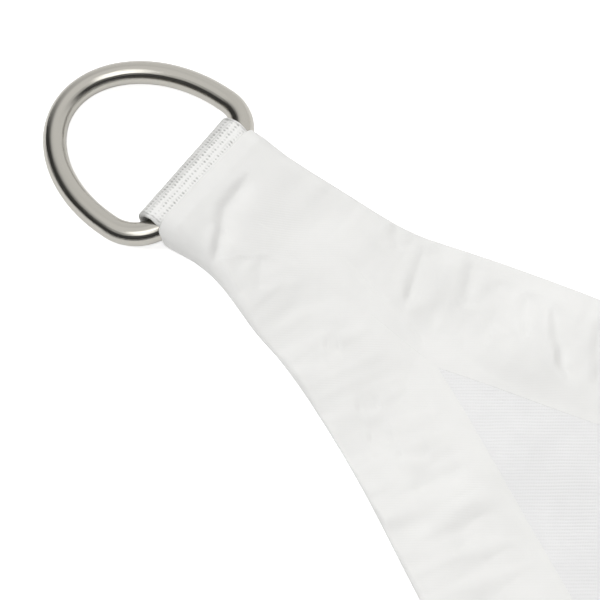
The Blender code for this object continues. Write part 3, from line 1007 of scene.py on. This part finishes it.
@dataclass(frozen=True)
class Webbing:
    """A flat loop of webbing round the ring's bar, with both ends held in the sleeve."""

    plan: SailPlan
    ring: Ring
    corner: Corner
    width: float = 0.0345
    thickness: float = 0.0015
    wrap_gap: float = 0.0005
    pinch: float = 0.0205
    end: float = 0.0240
    columns: int = 150
    over_rows: int = 80
    round_rows: int = 60
    under_rows: int = 14
    pitch: float = 0.00088
    row_length: float = 0.00165
    relief: float = 0.00026
    stiff_reach: float = 0.0065
    stiff_lean: float = 0.022
    # painted shade: how much the colour darkens over the loop's eye side, which turns down away from the
    # light, and where that band begins
    painted_shade_from: float = 0.0030
    shade: float = 0.22
    drawn_in: float = 0.16
    selvedge_radius: float = 0.0043
    selvedge_from: float = 0.0133
    upper_bend: float = 0.65
    lower_bend: float = 0.35
    ends_gap: float = 0.0003
    selvedge_fade: float = 0.0012
    rim_value: float = 0.8

    def wire_slice(self, y: np.ndarray) -> tuple[np.ndarray, np.ndarray]:
        """The wire cut across at a distance from the bar's middle: how far out it is, and its half width.

        Past the bar's straight part it is a slice of a torus, whose two sides lie at
        bend - sqrt((bend - wire)^2 - past^2) and bend - sqrt((bend + wire)^2 - past^2).

        Args:
            y: Distance from the bar's middle.

        Returns:
            The slice's middle, and half its width.
        """
        past = np.maximum(np.abs(y - self.ring.slide) - (self.ring.half_width - self.ring.bend), 0.0)
        eye = self.ring.bend - np.sqrt((self.ring.bend - self.ring.wire) ** 2 - past ** 2)
        sail = self.ring.bend - np.sqrt((self.ring.bend + self.ring.wire) ** 2 - past ** 2)
        return (eye + sail) / 2.0, (eye - sail) / 2.0

    def path(self, y: np.ndarray) -> tuple[np.ndarray, np.ndarray, np.ndarray]:
        """The webbing's middle line seen along the bar, from its upper end round the wire to its lower end.

        Over the top the height rises by smooth(t) from the pinch to the wire, then the line is an
        ellipse round the wire's slice, and underneath it runs straight back. Being stiff, it stands
        off the wire where the wire is straight, out to stiff_reach + stiff_lean * y.

        Args:
            y: Distance of each column from the bar's middle.

        Returns:
            x, z and the length from the upper end, rows by columns.
        """
        reach, half = self.wire_slice(y)
        gap = self.wrap_gap + self.thickness / 2.0
        tall, wide = self.ring.wire + gap, (self.ring.wire + gap) * half / self.ring.wire
        stiff = self.stiff_reach + self.stiff_lean * y - reach - wide
        wide = wide + np.maximum(stiff, 0.0)
        low = self.ring.bar_height - tall
        ends = low + self.thickness + self.ends_gap
        t = np.linspace(0.0, 1.0, self.over_rows)[:, None]
        over_x = self.end + (-reach - self.end) * t
        risen = smooth((self.pinch - over_x) / (self.pinch + reach))
        over_z = ends + (self.ring.bar_height + tall - ends) * risen
        turn = np.linspace(math.pi / 2.0, 1.5 * math.pi, self.round_rows)[1:, None]
        round_x = -reach + wide * np.cos(turn)
        round_z = self.ring.bar_height + tall * np.sin(turn) + 0.0 * round_x
        t = np.linspace(0.0, 1.0, self.under_rows)[1:, None]
        under_x = -reach + (self.end + reach) * t
        x = np.concatenate([over_x, round_x, under_x])
        z = np.concatenate([over_z, round_z, low + 0.0 * under_x])
        steps = np.hypot(np.diff(x, axis=0), np.diff(z, axis=0))
        return x, z, np.concatenate([np.zeros((1, x.shape[1])), np.cumsum(steps, axis=0)])

    def weave(self, along: np.ndarray, y: np.ndarray) -> np.ndarray:
        """Rows of dots sunk between smooth cords, each row half a step on from the last.

        Args:
            along: Length from the webbing's upper end.
            y: Distance from its middle.

        Returns:
            The weave's height, 1 on a cord and less in a dot.
        """
        uneven = SoftNoise(31, 0.0013)
        row = (along + 0.00016 * uneven(y + 0.0 * along, along)) / self.row_length
        y = y + 0.00017 * uneven(along + 0.021, y + 0.0 * along)
        number = np.floor(row)
        within = row - number
        across = y / self.pitch + 0.5 * (number % 2)
        gap = (1.0 - np.abs(np.cos(math.pi * across))) ** 0.8
        strength = 0.72 + 0.28 * uneven(y + 0.033, along + 0.017)
        dots = strength * gap * np.exp(-((within - 0.36) / 0.22) ** 2)
        groove = 0.30 * strength * np.exp(-((within - 0.80) / 0.10) ** 2)
        return 1.0 - dots - groove

    def build(self, finish: bpy.types.Material) -> bpy.types.Object:
        """Makes an outer and an inner face with rounded selvedges, closed at both ends.

        Inside the sleeve it is drawn in, and its selvedges bend away from the sleeve's rounded corners.

        Args:
            finish: The webbing's material.

        Returns:
            The piece.
        """
        half = self.width / 2.0
        flat = np.linspace(-half + self.thickness / 2.0, half - self.thickness / 2.0, self.columns)
        turn = np.linspace(math.pi / 2.0, -math.pi / 2.0, 8)[1:-1]
        side_y = half - self.thickness / 2.0 + self.thickness / 2.0 * np.cos(turn)
        inner_flat = flat[::-3]
        y = np.concatenate([flat, side_y, inner_flat, -side_y[::-1]])
        off = np.concatenate([np.ones(len(flat)), np.sin(turn), -np.ones(len(inner_flat)),
                              np.sin(turn)[::-1]])
        x, z, along = self.path(y)
        ahead_x, ahead_z = np.gradient(x, axis=0), np.gradient(z, axis=0)
        length = np.hypot(ahead_x, ahead_z)
        # painted shade: the weave number is low in the sunk dots and grooves and falls to 0 at the selvedges,
        # which darkens the colour there
        weave = self.weave(along, y[None, :]) * smooth((half - np.abs(y)) / self.selvedge_fade)[None, :]
        outer = off > 0.99
        sunk = np.where(outer[None, :], self.relief * (weave - 1.0), 0.0)
        out_by = self.thickness / 2.0 * off[None, :] + sunk
        x, z = x + out_by * ahead_z / length, z - out_by * ahead_x / length
        rounded = np.maximum(np.abs(y) - self.selvedge_from, 0.0)
        droop = self.selvedge_radius - np.sqrt(self.selvedge_radius ** 2 - rounded ** 2)
        above = np.clip((z - self.ring.bar_height) / 0.002, -1.0, 1.0)
        bend = np.where(above > 0.0, self.upper_bend, self.lower_bend) * above
        z = z - droop * bend * smooth((x + 0.0025) / 0.0035)
        y = y * (1.0 - self.drawn_in * smooth((x + 0.0005) / 0.006))
        angle = self.ring.turn * (1.0 - smooth((x + 0.004) / 0.018))
        plan_x = x * np.cos(angle) - y * np.sin(angle)
        plan_y = x * np.sin(angle) + y * np.cos(angle) + self.plan.neck_shift(plan_x)
        world_x, world_y = self.plan.world(plan_x, plan_y, self.corner)
        shell = Shell()
        # painted shade: the colour darkens over the eye side of the loop, on top of the painted shade the
        # weave number puts between the cords
        shaded = self.shade * smooth((-x - self.painted_shade_from) / 0.0014)
        value = np.where(outer[None, :], weave, self.rim_value) - shaded
        index = shell.grid(world_x, world_y, z, ring=True, value=value)
        shell.cap(index[0])
        shell.cap(index[-1])
        return shell.build("loop_" + self.corner.tag, finish, "weave")


@dataclass(frozen=True)
class Studio:
    """The pale floor, the soft light round it, and the camera over one corner."""

    plan: SailPlan
    lens: float = 102.0
    heading: float = math.radians(12.5)
    pitch: float = math.radians(64.5)
    camera_right: float = 0.0240
    camera_back: float = 0.2078
    camera_up: float = 0.3685
    floor_size: float = 120.0
    floor_drop: float = 0.0004
    sun_angle: float = math.radians(45.0)

    def add_camera(self, bar_height: float) -> None:
        """Sets the camera looking down on the first corner's ring.

        Args:
            bar_height: Height of the ring's bar, from which the camera's place is measured.
        """
        x, y = self.plan.world(np.array(0.0), np.array(self.plan.neck_offset), Corner.A)
        right = Vector((math.cos(self.heading), math.sin(self.heading), 0.0))
        away = Vector((-right.y, right.x, 0.0))
        up = Vector((0.0, 0.0, 1.0))
        place = Vector((float(x), float(y), bar_height))
        place += right * self.camera_right - away * self.camera_back + up * self.camera_up
        look = away * math.cos(self.pitch) - up * math.sin(self.pitch)
        image_up = away * math.sin(self.pitch) + up * math.cos(self.pitch)
        data = bpy.data.cameras.new("camera")
        data.lens, data.sensor_width = self.lens, 36.0
        data.clip_start, data.clip_end = 0.01, 500.0
        camera = bpy.data.objects.new("camera", data)
        axes = Matrix((right, image_up, -look)).transposed()
        camera.matrix_world = Matrix.Translation(place) @ axes.to_4x4()
        bpy.context.scene.collection.objects.link(camera)
        bpy.context.scene.camera = camera

    def add_floor(self) -> None:
        """Lays the floor, a flat grid much larger than the sail."""
        ends = np.linspace(-self.floor_size / 2.0, self.floor_size / 2.0, 13)
        x, y = np.meshgrid(ends, ends, indexing="ij")
        shell = Shell()
        shell.grid(x, y, np.full(x.shape, -self.floor_drop))
        floor = shell.build("floor", FloorFinish().make())
        if floor.data.polygons[0].normal.z < 0.0:
            floor.data.flip_normals()

    def add_light(self) -> None:
        """Lights the studio: a bright ceiling with a soft box, darker walls, and two broad suns."""
        world = bpy.data.worlds.new("studio")
        bpy.context.scene.world = world
        world.use_nodes = True
        nodes = Nodes(world.node_tree)
        away = Vector((-math.sin(self.heading), math.cos(self.heading), 0.0))
        right = Vector((away.y, -away.x, 0.0))
        way = nodes.add("ShaderNodeTexCoord").outputs["Generated"]
        height = nodes.add("ShaderNodeSeparateXYZ", {0: way}).outputs[2]

        def facing(direction: Vector) -> bpy.types.NodeSocket:
            """How far the way looked faces a direction, from -1 to 1."""
            node = nodes.add("ShaderNodeVectorMath", {0: way, 1: tuple(direction)}, operation="DOT_PRODUCT")
            return node.outputs["Value"]

        far_wall = nodes.between(facing((away * 0.85 + right * 0.5).normalized()), -0.02, 0.72, 0.065, 0.95)
        ceiling = nodes.between(height, 0.58, 0.93)
        below = nodes.math("MULTIPLY", far_wall, nodes.math("SUBTRACT", 1.0, ceiling))
        room = nodes.math("ADD", below, ceiling)
        box_way = (Vector((0.0, 0.0, 1.0)) - away * 0.36 + right * 0.05).normalized()
        box = nodes.between(facing(box_way), 0.93, 0.985, 0.0, 1.5)
        glow = nodes.math("ADD", room, box)
        seen = nodes.add("ShaderNodeLightPath").outputs["Is Camera Ray"]
        strength = nodes.add("ShaderNodeMix", {0: seen, 2: glow, 3: 1.0}, data_type="FLOAT").outputs[0]
        background = world.node_tree.nodes["Background"]
        background.inputs["Color"].default_value = colour(1.0, 0.995, 0.985)
        world.node_tree.links.new(strength, background.inputs["Strength"])
        up = Vector((0.0, 0.0, 1.0))
        self.add_sun("top_light", away * 0.06 - right * 0.74 + up, 1.41)
        self.add_sun("fill_light", right * 0.3 - away + up * 0.7, 0.37)
        bpy.context.scene.view_settings.view_transform = "Standard"

    def add_sun(self, name: str, toward: Vector, strength: float) -> None:
        """Adds one broad soft light that doesn't show in the steel.

        Args:
            name: The light's name.
            toward: The way from the sail to the light.
            strength: How bright it is.
        """
        data = bpy.data.lights.new(name, "SUN")
        data.energy = strength
        data.angle = self.sun_angle
        sun = bpy.data.objects.new(name, data)
        sun.rotation_euler = toward.normalized().to_track_quat("Z", "Y").to_euler()
        sun.visible_glossy = False
        bpy.context.scene.collection.objects.link(sun)


def main() -> None:
    logging.basicConfig(level=logging.INFO)
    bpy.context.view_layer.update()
    plan, lie, folds = SailPlan(), Lie(), HemFolds()
    studio = Studio(plan)
    studio.add_camera(Ring(plan, Corner.A).bar_height)
    studio.add_floor()
    studio.add_light()
    hem_cloth = ClothFinish("hem_cloth", rib_pitch=0.00062, rib_depth=0.000008).make()
    panel_cloth = ClothFinish("panel_cloth", light=(0.72, 0.72, 0.725), dark=(0.68, 0.68, 0.685),
                              roughness=0.5, rib_depth=0.000045).make()
    webbing_finish, steel = WebbingFinish().make(), SteelFinish().make()
    panel = Panel(plan, lie).build(panel_cloth)
    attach(panel, "root")
    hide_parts("sail_cloth")
    going_with = []
    for corner in Corner:
        hems = Hems(plan, lie, folds, corner).build(hem_cloth)
        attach(hems, "root")
        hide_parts("sail_cloth")
        ring = Ring(plan, corner)
        steel_ring = ring.build(steel)
        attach(steel_ring, "root")
        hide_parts("d_ring_" + corner.tag)
        loop = Webbing(plan, ring, corner).build(webbing_finish)
        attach(loop, "root")
        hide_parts("webbing_" + corner.tag)
        going_with += [hems, steel_ring, loop]


if __name__ == "__main__":
    main()
